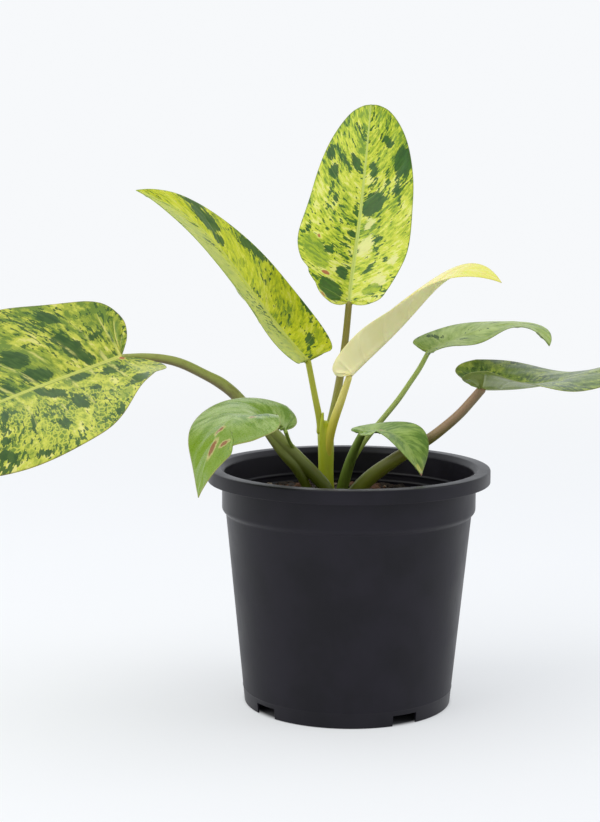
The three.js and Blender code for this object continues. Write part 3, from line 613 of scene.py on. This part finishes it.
def soil_height(x, y):
    far = ((x - SOIL_MOUND_AT[0]) ** 2 + (y - SOIL_MOUND_AT[1]) ** 2) / SOIL_MOUND_REACH ** 2
    clods = math.sin(0.31 * x + 1.3) * math.cos(0.27 * y) + 0.6 * math.sin(0.53 * y + 0.21 * x)
    return SOIL_LEVEL + SOIL_MOUND * math.exp(-far) + CLOD_HEIGHT * clods


def soil_surface(x, y):
    here = Vector((x, y, 0))
    fine = RIPPLE * noise.fractal(here / RIPPLE_WIDTH, 0.6, 2.1, 4) + GRIT * noise.noise(here / GRIT_WIDTH)
    return soil_height(x, y) + fine


def build_soil():
    edge_radius = COLLAR_RADIUS - WALL - STACKING_RISE - SOIL_CLEARANCE
    top = turned([(edge_radius * i / SOIL_RINGS, 0) for i in range(SOIL_RINGS + 1)], SOIL_SIDES)
    top = [[(x, y, soil_surface(x, y)) for x, y, z in ring] for ring in top]
    wall = [
        (edge_radius, STEP_TOP), (inside_radius(STEP_BOTTOM) - SOIL_CLEARANCE, STEP_BOTTOM),
        (inside_radius(PLATE_TOP + WALL) - SOIL_CLEARANCE, PLATE_TOP + WALL),
        (inside_radius(PLATE_TOP) - WALL - SOIL_CLEARANCE, PLATE_TOP + 0.3)]
    vertices, faces = lattice(top + turned(wall, SOIL_SIDES), SOIL_SIDES)
    faces.append(list(range(len(vertices) - SOIL_SIDES, len(vertices)))[::-1])

    # Bark chips lie flat and crumbs of any shape lie between them, each sunk a little into the soil
    draw = np.random.default_rng(7)
    shades = [0.5] * len(vertices)
    ball_vertices, ball_faces = ball()
    for i in range(CHIPS + CRUMBS):
        chip = i < CHIPS
        angle = draw.uniform(0, 2 * math.pi)
        radius = edge_radius * SOIL_SPREAD * math.sqrt(draw.uniform(0, 1))
        size = draw.uniform(*(CHIP_SIZES if chip else CRUMB_SIZES))
        if chip:
            stretch = np.array([1, draw.uniform(*CHIP_WIDTHS), draw.uniform(*CHIP_HEIGHTS)])
        else:
            stretch = draw.uniform(*CRUMB_SHAPES, 3)
        spin = Matrix.Rotation(draw.uniform(0, CHIP_TURN), 3, "Z")
        spin = spin @ Matrix.Rotation(draw.normal(0, CHIP_TILT), 3, "X")
        dents = 1 + draw.uniform(-DENTS, DENTS, len(ball_vertices))
        shape = (ball_vertices * dents[:, None] * stretch * size) @ np.array(spin).T
        radius = min(radius, edge_radius - size)
        x, y = radius * math.cos(angle), radius * math.sin(angle)
        lift = size * (CHIP_LIFT if chip else CRUMB_LIFT)
        base = len(vertices)
        vertices.extend(shape + np.array([x, y, soil_surface(x, y) + lift]))
        faces.extend([[c + base for c in face] for face in ball_faces])
        shades.extend([draw.uniform(0, 1)] * len(ball_vertices))
    soil = add_mesh("potting_mix", vertices, faces)
    layer = soil.data.attributes.new("soil_grain", "FLOAT", "POINT")
    layer.data.foreach_set("value", np.array(shades, np.float32))
    sharpen(soil, SOIL_CREASE)
    return soil


def ball():
    work = bmesh.new()
    bmesh.ops.create_icosphere(work, subdivisions=BALL_ROUNDS, radius=1)
    vertices = np.array([v.co[:] for v in work.verts])
    faces = [[v.index for v in face.verts] for face in work.faces]
    work.free()
    return vertices, faces


# Materials

class Nodes:
    """The node tree of a material or a world, with short ways to add its nodes."""

    def __init__(self, owner):
        owner.use_nodes = True
        self.tree = owner.node_tree

    def join(self, value, socket):
        if isinstance(value, bpy.types.NodeSocket):
            self.tree.links.new(value, socket)
        elif isinstance(value, tuple) and len(value) == 3 and socket.type == "RGBA":
            socket.default_value = (*value, 1)
        else:
            socket.default_value = value

    def add(self, kind, inputs, **settings):
        """A new node with its settings made and its inputs joined. Inputs are given by name or number."""
        node = self.tree.nodes.new("ShaderNode" + kind)
        for name, value in settings.items():
            setattr(node, name, value)
        for key, value in inputs.items():
            self.join(value, node.inputs[key])
        return node

    def attribute(self, name, output="Vector"):
        return self.add("Attribute", {}, attribute_name=name).outputs[output]

    def parts(self, vector):
        return self.add("SeparateXYZ", {0: vector}).outputs

    def place(self):
        return self.add("TexCoord", {}).outputs["Object"]

    def sum(self, kind, a, b=0.0, c=0.0):
        return self.add("Math", {0: a, 1: b, 2: c}, operation=kind).outputs[0]

    def times(self, a, b):
        return self.sum("MULTIPLY", a, b)

    def scaled(self, vector, factors, shift=(0.0, 0.0, 0.0)):
        return self.add("VectorMath", {0: vector, 1: factors, 2: shift}, operation="MULTIPLY_ADD").outputs[0]

    def noise(self, vector, scale, detail=2.0, roughness=0.5):
        inputs = {"Vector": vector, "Scale": scale, "Detail": detail, "Roughness": roughness}
        return self.add("TexNoise", inputs).outputs["Fac"]

    def cells(self, vector):
        """Distance to the border of the nearest cell of a net with cells about 1 wide."""
        net = self.add("TexVoronoi", {"Vector": vector, "Scale": 1}, feature="DISTANCE_TO_EDGE")
        return net.outputs["Distance"]

    def step(self, value, low, high, to_low=0.0, to_high=1.0, form="SMOOTHSTEP"):
        """A value that goes from to_low to to_high while another one goes from low to high."""
        inputs = {"Value": value, "From Min": low, "From Max": high, "To Min": to_low, "To Max": to_high}
        return self.add("MapRange", inputs, interpolation_type=form).outputs[0]

    def mix(self, share, a, b):
        return self.add("Mix", {"Factor": share, 6: a, 7: b}, data_type="RGBA").outputs[2]


class Paint(Nodes):
    """A node material. Its body is the colour so far, which other colours are laid over."""

    def __init__(self, name, roughness, specular):
        self.material = bpy.data.materials.new(name)
        super().__init__(self.material)
        self.body = None
        self.give("Roughness", roughness)
        self.give("Specular IOR Level", specular)

    def give(self, name, value):
        self.join(value, self.tree.nodes["Principled BSDF"].inputs[name])

    def lay(self, share, colour):
        self.body = self.mix(share, self.body, colour)

    def bump(self, height, distance, strength):
        inputs = {"Height": height, "Distance": distance * MM, "Strength": strength}
        self.give("Normal", self.add("Bump", inputs).outputs[0])

    def flesh(self, weight, depth):
        """Light that goes a little way into the tissue, and comes out greener."""
        self.give("Subsurface Weight", weight)
        self.give("Subsurface Radius", FLESH_TINT)
        self.give("Subsurface Scale", depth * MM)

    def done(self):
        self.give("Base Color", self.body)
        return self.material


def shade(red, green, blue):
    """A colour given as screen values from 11 to 255, in the linear form that shaders take."""
    return tuple(((c / 255 + 0.055) / 1.055) ** 2.4 for c in (red, green, blue))


def leaf_paint(name):
    look = dict(PLAIN_LOOK, halo=LEAF_LOOKS[name]["cream"]) | LEAF_LOOKS[name]
    tones = {key: shade(*look[key]) for key in TONES}
    length = LEAVES[name]["length"]
    seed = 11.0 * leaf_number(name)
    paint = Paint("leaf_" + name, look["roughness"], look["gloss"])
    along, across, v = paint.parts(paint.attribute("leaf_flat"))
    flow = paint.attribute("leaf_vein")
    near_vein = paint.parts(flow)[2]
    dark, mid, pale = paint.parts(paint.attribute("leaf_marks"))
    scorch, to_edge, under = paint.parts(paint.attribute("leaf_spots"))

    def grain(width, reach, shift, detail, roughness=0.55):
        """Noise in streaks along the veins, about width by reach in mm."""
        return paint.noise(paint.scaled(flow, (1 / width, 1 / reach, 0), shift), 1, detail, roughness)

    # Streaks that follow the veins, in four tones from pale to green, thicker towards the greener end
    broad = grain(15, 22, (seed, 0, 0), 1)
    tone = paint.sum("MULTIPLY_ADD", broad, look["drift"], grain(*look["grain"], (0, seed, 0), 5, 0.68))
    greener_base, greener_tip = look["greener"]
    tone = paint.sum("ADD", tone, paint.step(along, 0, length, greener_base - 0.25, greener_tip - 0.25))
    paint.body = tones["cream"]
    for key, level in TONE_LEVELS:
        paint.lay(paint.step(tone, level - look["soft"], level + look["soft"]), tones[key])
    if "tip" in look:
        start, end, colour = look["tip"]
        paint.lay(paint.step(along, start, end, 0, 0.85), shade(*colour))
    # Painted sheen: a paler, duller colour over one half of the blade stands in for its reflection at a
    # grazing angle
    if "lower" in look:
        start, end, share, colour = look["lower"]
        paint.lay(paint.step(across, start, end, 0, share), shade(*colour))
    if "net" in look:
        cell = paint.cells(paint.scaled(flow, (1 / NET_WIDTH, 1 / NET_REACH, 0)))
        netted = paint.times(paint.step(across, -4, -14), paint.step(broad, 0.36, 0.5))
        paint.lay(paint.times(netted, paint.step(cell, 0.05, 0.22, 0, 0.6)), tones["green"])
        paint.lay(paint.times(netted, paint.step(cell, 0.04, 0.16, look["net"], 0)), tones["lime"])

    # Small dark flecks, and the large marks with ragged edges
    fleck = grain(2.2, 5.2, (0, 0, seed), 2.5, 0.6)
    fleck = paint.sum("MULTIPLY_ADD", grain(24, 18, (0, seed, seed), 1), 0.5, fleck)
    rare = 0.97 - 0.16 * look["flecks"]
    paint.lay(paint.step(fleck, rare, rare + 0.03, 0, 0.95), tones["dark"])
    ragged = grain(2.6, 8, (seed, seed, 0), 5, 0.7)
    wander = paint.sum("MULTIPLY_ADD", ragged, look["wild"], -look["wild"] / 2)
    middling = paint.mix(paint.step(ragged, 0.45, 0.55), tones["green"], tones["leafy"])
    inner = paint.mix(paint.step(grain(2.5, 7, (seed, 3, 0), 2), 0.42, 0.6), tones["deep"], tones["dark"])
    marks = (
        (pale, -0.2, 0.3, 0.9, tones["pale"]), (mid, -0.2, 0.2, 0.9, middling),
        (dark, -0.15, 0.15, 0.97, inner))
    for depth, low, high, share, colour in marks:
        paint.lay(paint.step(paint.sum("ADD", depth, wander), low, high, 0, share), colour)

    # Side veins, midrib, rim, dry spots and the paler underside
    line = paint.step(near_vein, 0.1, 0.5, look["veins"], 0)
    paint.lay(paint.times(line, paint.step(v, 0.5, 0.95, 1, 0.1)), tones["vein"])
    if "rays" in look:
        wide = paint.sum("MAXIMUM", paint.sum("MULTIPLY_ADD", v, -2.2, 2.1), 0.2)
        ray = paint.step(paint.sum("DIVIDE", near_vein, wide), 0.3, 1.0, look["rays"], 0)
        patchy = paint.times(paint.step(ragged, 0.4, 0.55), paint.step(broad, 0.42, 0.56))
        paint.lay(paint.times(ray, patchy), tones["cream"])
    middle = paint.sum("DIVIDE", paint.sum("ABSOLUTE", across), paint.step(along, 0, length, 1.15, 0.45))
    paint.lay(paint.step(middle, 0.75, 1.25, look["midrib"], 0), tones["vein"])
    paint.lay(paint.step(middle, 0.1, 0.3, 0.25, 0), tones["green"])
    paint.lay(paint.step(to_edge, 0.1, 0.6, 0.6, 0), tones["rim"])
    dry = paint.sum("ADD", scorch, paint.sum("MULTIPLY_ADD", ragged, 2.0, -1.0))
    paint.lay(paint.step(dry, -0.9, -0.2, 0, 0.6), tones["halo"])
    paint.lay(paint.step(dry, -0.2, 0.3), tones["scorch"])
    paint.lay(paint.step(under, 0.3, 0.7, 0, 0.75), tones["under"])

    tissue = paint.noise(paint.place(), 1400, 3, 0.6)
    paint.give("Roughness", paint.step(tissue, 0.3, 0.7, look["roughness"] - 0.06, look["roughness"] + 0.08))
    paint.bump(tissue, 0.05, 0.5)
    paint.flesh(0.15, 0.6)
    return paint.done()


def stem_paint(name, look):
    tones = {key: shade(*look[key]) for key in ("over", "under", "low", "stain")}
    paint = Paint(name, 0.42, 0.45)
    place = paint.place()
    height = paint.parts(place)[2]
    # The side that faces up takes the over tone and the side that faces down the under tone: partly the
    # stalk's own two tones, partly painted light on top and painted shade below
    facing = paint.parts(paint.add("NewGeometry", {}).outputs["Normal"])[2]
    streak = paint.noise(paint.scaled(place, (1, 1, 0.35)), 420, 4, 0.6)
    lift = paint.sum("MULTIPLY_ADD", streak, 0.5, -0.25)
    paint.body = tones["under"]
    paint.lay(paint.step(paint.sum("ADD", facing, lift), -0.7, 0.35), tones["over"])
    low, high = look["fade"]
    paint.lay(paint.step(height, low * MM, high * MM, 1, 0), tones["low"])
    blotch = paint.noise(place, 150, 3, 0.6)
    paint.lay(paint.step(blotch, 0.55, 0.75, 0, look.get("blotch", 0.5)), tones["stain"])
    paint.bump(streak, 0.05, 0.5)
    paint.flesh(0.1, 1.5)
    return paint.done()


def plastic_paint():
    paint = Paint("black_plastic", 0.4, 0.18)
    place = paint.place()
    cloud = paint.noise(place, 38, 3, 0.5)
    paint.body = paint.mix(paint.step(cloud, 0.3, 0.7), shade(26, 25, 31), shade(34, 32, 40))
    grain = paint.noise(place, 2600, 2, 0.5)
    scuff = paint.noise(paint.scaled(place, (1, 1, 0.06)), 900, 2, 0.5)
    rough = paint.step(cloud, 0.3, 0.7, 0.34, 0.44)
    paint.give("Roughness", paint.sum("MULTIPLY_ADD", paint.step(scuff, 0.55, 0.75), 0.06, rough))
    paint.bump(paint.sum("ADD", grain, scuff), 0.02, 0.5)
    return paint.done()


def soil_paint():
    paint = Paint("potting_mix", 0.9, 0.3)
    place = paint.place()
    grain = paint.attribute("soil_grain", "Fac")
    fine = paint.noise(place, 700, 4, 0.65)
    paint.body = paint.mix(paint.step(fine, 0.35, 0.65), shade(20, 15, 12), shade(52, 41, 33))
    bark = paint.mix(paint.step(fine, 0.3, 0.7), shade(62, 38, 24), shade(104, 70, 47))
    paint.lay(paint.step(grain, 0.6, 0.72, 0, 0.85), bark)
    paint.lay(paint.step(grain, 0.95, 0.97, 0, 0.8), shade(140, 128, 110))
    paint.bump(paint.noise(place, 1300, 4, 0.65), 0.3, 0.8)
    return paint.done()


# Looks of the leaves and stems, with colours as screen values. greener shifts the streaks to green at the
# base and the tip, grain is their width and reach in mm, drift how patchy they are and soft how blurred.
# tip is (from, to, colour) along the leaf, and a half's painted sheen (from, to, share, colour) across it.
TONES = ("cream", "lime", "leafy", "green", "dark", "deep", "pale", "vein", "rim", "under", "scorch", "halo")
TONE_LEVELS = (("lime", 0.4), ("leafy", 0.51), ("green", 0.6))
NET_WIDTH, NET_REACH = 2.6, 3.2
FLESH_TINT = (0.6, 1.0, 0.2)
PLAIN_LOOK = dict(
    greener=(0, 0), grain=(3.6, 9), drift=0.5, soft=0.025, flecks=0.5, wild=10.0, veins=0.3, midrib=0.9,
    roughness=0.4, gloss=0.24, scorch=(178, 112, 72), deep=(58, 94, 34), pale=(212, 214, 104))
LEAF_LOOKS = {
    "upright": dict(
        cream=(224, 226, 128), lime=(206, 214, 70), leafy=(168, 188, 48), green=(118, 150, 44),
        dark=(58, 102, 38), deep=(48, 88, 36), pale=(226, 226, 150), vein=(194, 208, 110),
        rim=(104, 118, 50), under=(160, 180, 90), greener=(-0.06, 0.05), flecks=0.85, grain=(2.6, 7)),
    "upper_left": dict(
        cream=(214, 216, 80), lime=(202, 208, 36), leafy=(176, 188, 28), green=(124, 150, 34),
        dark=(70, 104, 36), deep=(58, 94, 34), vein=(194, 204, 84), rim=(110, 132, 50), under=(168, 184, 86),
        # The left half takes a painted sheen, paler and duller, where it is seen at a grazing angle
        lower=(2, -7, 0.62, (178, 190, 104)), flecks=0.6, grain=(2.4, 7)),
    "far_left": dict(
        cream=(220, 216, 124), lime=(198, 202, 78), leafy=(158, 172, 60), green=(112, 138, 50),
        dark=(66, 98, 44), deep=(52, 84, 38), vein=(202, 206, 100), rim=(122, 106, 66), under=(160, 174, 98),
        flecks=1.0, rays=0.75, net=0.8, grain=(4.5, 9), drift=0.6, wild=14.0, roughness=0.34),
    "small_left": dict(
        cream=(158, 180, 108), lime=(144, 168, 88), leafy=(124, 152, 64), green=(100, 132, 40),
        dark=(86, 122, 36), deep=(76, 110, 34), vein=(150, 174, 92), rim=(166, 150, 90),
        under=(136, 162, 68), tip=(44, 66, (112, 142, 28)), flecks=0.1, midrib=0.3, veins=0.12, soft=0.1,
        roughness=0.28, scorch=(140, 96, 56), halo=(206, 190, 130)),
    "new": dict(
        cream=(244, 236, 182), lime=(240, 230, 168), leafy=(234, 224, 152), green=(226, 218, 130),
        dark=(196, 192, 96), vein=(240, 228, 160), rim=(206, 196, 90), under=(254, 247, 190),
        tip=(66, 106, (222, 220, 96)), flecks=0, grain=(8, 20), soft=0.14, midrib=0.4, gloss=0.15),
    "small_right": dict(
        cream=(172, 190, 112), lime=(158, 178, 98), leafy=(142, 164, 82), green=(116, 142, 60),
        dark=(66, 92, 42), deep=(56, 82, 36), vein=(156, 174, 98), rim=(128, 138, 78), under=(140, 160, 86),
        flecks=0.45, soft=0.06, midrib=0.6),
    "far_right": dict(
        cream=(172, 182, 88), lime=(146, 162, 68), leafy=(114, 134, 58), green=(84, 108, 48),
        dark=(62, 86, 40), deep=(52, 76, 36), vein=(152, 166, 84), rim=(150, 146, 92), under=(126, 144, 70),
        greener=(0.05, 0.05), flecks=0.95, roughness=0.32),
    "small_front": dict(
        cream=(152, 176, 92), lime=(136, 162, 76), leafy=(112, 142, 60), green=(90, 122, 46),
        dark=(74, 106, 42), pale=(200, 198, 90), vein=(154, 176, 90), rim=(116, 132, 60),
        under=(110, 140, 62), flecks=0.2, soft=0.07, midrib=0.5, tip=(40, 50, (192, 190, 84)),
        scorch=(168, 124, 104)),
}

# Stalk tones: over on the side facing up and under on the side facing down, partly painted light and shade;
# low below the heights of fade, and stain in blotches
STEM_LOOKS = {
    "crown": dict(
        over=(188, 198, 42), under=(164, 176, 30), low=(166, 166, 46), fade=(108, 128),
        stain=(146, 132, 52), blotch=0.3),
    "upright": dict(
        over=(142, 134, 62), under=(112, 102, 48), low=(142, 150, 46), fade=(150, 180),
        stain=(108, 84, 52)),
    "upper_left": dict(
        over=(186, 190, 56), under=(158, 164, 36), low=(168, 174, 40), fade=(150, 165),
        stain=(152, 136, 62), blotch=0.25),
    "new": dict(
        over=(220, 210, 116), under=(200, 188, 78), low=(202, 194, 60), fade=(150, 165),
        stain=(196, 170, 100), blotch=0.25),
    "far_left": dict(
        over=(150, 158, 78), under=(104, 94, 46), low=(98, 110, 28), fade=(118, 165), stain=(112, 94, 52)),
    "small_left": dict(
        over=(156, 178, 80), under=(136, 156, 62), low=(134, 154, 58), fade=(138, 145),
        stain=(140, 134, 66), blotch=0.2),
    "small_right": dict(
        over=(170, 188, 98), under=(144, 164, 74), low=(140, 160, 56), fade=(125, 145),
        stain=(146, 142, 76), blotch=0.2),
    "far_right": dict(
        over=(152, 122, 92), under=(106, 94, 50), low=(124, 132, 38), fade=(126, 158),
        stain=(128, 92, 66)),
    "small_front": dict(
        over=(116, 140, 54), under=(82, 102, 34), low=(96, 116, 34), fade=(118, 140), stain=(98, 96, 46),
        blotch=0.3),
}


def place_piece(obj, material, node):
    obj.data.materials.clear()
    obj.data.materials.append(material)
    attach(obj, "root")
    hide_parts(node)


for name in LEAVES:
    place_piece(build_leaf(name), leaf_paint(name), "blade_" + name)
    stalk = build_stalk("stalk_" + name, STALK_ROUTES[name])
    place_piece(stalk, stem_paint("stalk_" + name, STEM_LOOKS[name]), "petiole_" + name)
crown = build_stalk("stem_crown", [CROWN_ROUTE, SHEATH_TIP_ROUTE])
place_piece(crown, stem_paint("stem_crown", STEM_LOOKS["crown"]), "crown")
place_piece(build_soil(), soil_paint(), "soil")
place_piece(build_pot(), plastic_paint(), "pot")


# Stage, light and camera

BACKGROUND = (0.93, 0.945, 0.965)
CAMERA_PLACE = (-0.0265, -0.945, 0.2848)
CAMERA_PITCH, CAMERA_ROLL = math.radians(7.62), 0.0051
FOCAL_PIXELS, PHOTO_HEIGHT, SENSOR = 1777, 822, 36

# The floor, in metres: its radius, where the painted pot shadow ends, and (from, to, least, most) of its
# glow
# The glow in the background colour merges the floor with the backdrop far off, and near the pot is painted
# light over its shade
FLOOR_RADIUS, POT_SHADE, FLOOR_GLOW = 14, (0.052, 0.058), (0.3, 1.7, 0.52, 1.0)

camera_data = bpy.data.cameras.new("camera")
camera_data.sensor_width = SENSOR
camera_data.lens = FOCAL_PIXELS / PHOTO_HEIGHT * SENSOR
camera = bpy.data.objects.new("camera", camera_data)
bpy.context.scene.collection.objects.link(camera)
place = Matrix.Translation(CAMERA_PLACE) @ Matrix.Rotation(math.pi / 2 - CAMERA_PITCH, 4, "X")
camera.matrix_world = place @ Matrix.Rotation(CAMERA_ROLL, 4, "Z")
bpy.context.scene.camera = camera


def floor_paint():
    """Pale and glowing in the background colour: one with the background far away, with painted light over
    the pot's shade near it, and a painted deep shadow under the pot.
    """
    paint = Paint("floor", 0.85, 0.0)
    place = paint.place()
    x, y = paint.parts(place)[:2]
    reach = paint.sum("SQRT", paint.sum("MULTIPLY_ADD", x, x, paint.times(y, y)))
    outside = paint.step(reach, *POT_SHADE)
    far = paint.times(paint.step(reach, *FLOOR_GLOW), outside)
    near = paint.mix(paint.noise(place, 3, 2, 0.5), (0.83, 0.84, 0.86), (0.86, 0.87, 0.89))
    # Painted shadow: the floor under the pot is painted dark
    near = paint.mix(outside, (0.16, 0.16, 0.17), near)
    paint.body = paint.mix(far, near, (0, 0, 0))
    paint.give("Emission Color", BACKGROUND)
    # Painted light: the floor glows, about half as much near the pot, which lightens the shade there
    paint.give("Emission Strength", far)
    return paint.done()


bpy.ops.mesh.primitive_circle_add(vertices=96, radius=FLOOR_RADIUS, fill_type="NGON")
floor = bpy.context.object
floor.name = "floor"
floor.data.materials.append(floor_paint())


def add_light(name, place, aim, size, power, colour):
    data = bpy.data.lights.new(name, "AREA")
    data.shape = "RECTANGLE"
    data.size, data.size_y = size
    data.energy = power
    data.color = colour
    light = bpy.data.objects.new(name, data)
    light.location = place
    light.rotation_euler = (Vector(aim) - Vector(place)).to_track_quat("-Z", "Y").to_euler()
    bpy.context.scene.collection.objects.link(light)


add_light("window", (-1.1, -0.55, 1.35), (0, 0, 0.2), (1.5, 1.5), 15, (1, 0.985, 0.96))
add_light("fill", (1.5, -0.2, 0.9), (0, 0, 0.15), (0.9, 0.9), 4.5, (0.95, 0.98, 1))

world = bpy.data.worlds.new("room")
bpy.context.scene.world = world
room = Nodes(world)
room.tree.nodes.clear()
towards_back = room.parts(room.add("TexCoord", {}).outputs["Generated"])[1]
strength = room.step(towards_back, -0.9, 0.5, 0.5, 1.1, "LINEAR")
lit = room.add("Background", {"Color": (0.93, 0.96, 1), "Strength": strength}).outputs[0]
seen = room.add("Background", {"Color": BACKGROUND, "Strength": 1.0}).outputs[0]
camera_ray = room.add("LightPath", {}).outputs["Is Camera Ray"]
room.add("OutputWorld", {"Surface": room.add("MixShader", {0: camera_ray, 1: lit, 2: seen}).outputs[0]})
bpy.context.scene.view_settings.view_transform = "Standard"
